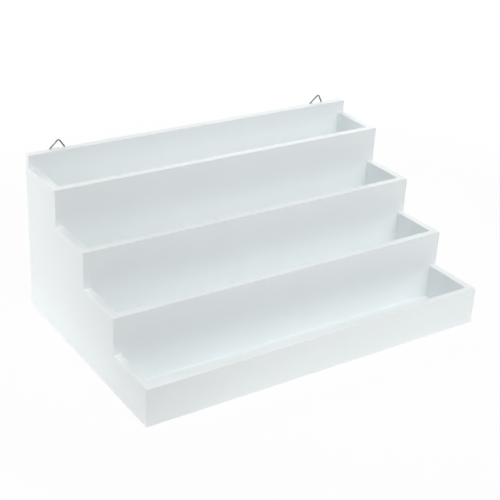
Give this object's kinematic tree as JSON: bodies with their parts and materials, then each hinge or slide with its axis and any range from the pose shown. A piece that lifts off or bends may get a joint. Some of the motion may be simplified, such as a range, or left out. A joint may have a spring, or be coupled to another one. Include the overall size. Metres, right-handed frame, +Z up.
{
  "type": "tiered desktop organizer",
  "caption": "Stepped white desktop organizer with open compartments on rising tiers between side panels, and swinging triangular rings on its back for hanging it on a wall.",
  "frame": {"origin": "under the middle of the whole organizer, hangers included, on the surface it stands on", "axes": "+X to the right seen from the front, +Y to the back, +Z up"},
  "size_m": [0.4, 0.263, 0.1851],
  "materials": {
    "white_paint": "fibreboard with satin white paint",
    "thin_white_board": "thin fibreboard with satin white paint",
    "brad_steel": "bright drawn wire",
    "strap_steel": "zinc plated sheet",
    "ring_steel": "dull plated wire",
    "screw_steel": "zinc plated"
  },
  "bodies": {
    "box": {"left_side_panel": "white_paint", "right_side_panel": "white_paint", "back_panel": "white_paint", "tier_1_front_board": "white_paint", "tier_2_front_board": "white_paint", "tier_3_front_board": "white_paint", "tier_4_front_board": "white_paint", "tier_1_floor": "thin_white_board", "tier_2_floor": "thin_white_board", "tier_3_floor": "thin_white_board", "tier_4_floor": "thin_white_board", "left_hanger_strap": "strap_steel", "right_hanger_strap": "strap_steel", "left_hanger_screw": "screw_steel", "right_hanger_screw": "screw_steel", "brad_left_tier_1_lower": "brad_steel", "brad_left_tier_1_upper": "brad_steel", "brad_left_tier_2_lower": "brad_steel", "brad_left_tier_2_upper": "brad_steel", "brad_left_tier_3_lower": "brad_steel", "brad_left_tier_3_upper": "brad_steel", "brad_left_tier_4_lower": "brad_steel", "brad_left_tier_4_upper": "brad_steel", "brad_right_tier_1_lower": "brad_steel", "brad_right_tier_1_upper": "brad_steel", "brad_right_tier_2_lower": "brad_steel", "brad_right_tier_2_upper": "brad_steel", "brad_right_tier_3_lower": "brad_steel", "brad_right_tier_3_upper": "brad_steel", "brad_right_tier_4_lower": "brad_steel", "brad_right_tier_4_upper": "brad_steel", "brad_back_left_1": "brad_steel", "brad_back_left_2": "brad_steel", "brad_back_left_3": "brad_steel", "brad_back_left_4": "brad_steel", "brad_back_right_1": "brad_steel", "brad_back_right_2": "brad_steel", "brad_back_right_3": "brad_steel", "brad_back_right_4": "brad_steel"},
    "left_ring": {"left_hanger_ring": "ring_steel"},
    "right_ring": {"right_hanger_ring": "ring_steel"}
  },
  "joints": [
    {"name": "left_ring_swing", "type": "hinge", "parent": "box", "child": "left_ring", "pos_m": [-0.1645, 0.12965, 0.1722], "axis": [-1, 0, 0], "range_deg": [0, 200]},
    {"name": "right_ring_swing", "type": "hinge", "parent": "box", "child": "right_ring", "pos_m": [0.1645, 0.12965, 0.1722], "axis": [-1, 0, 0], "range_deg": [0, 200]}
  ]
}
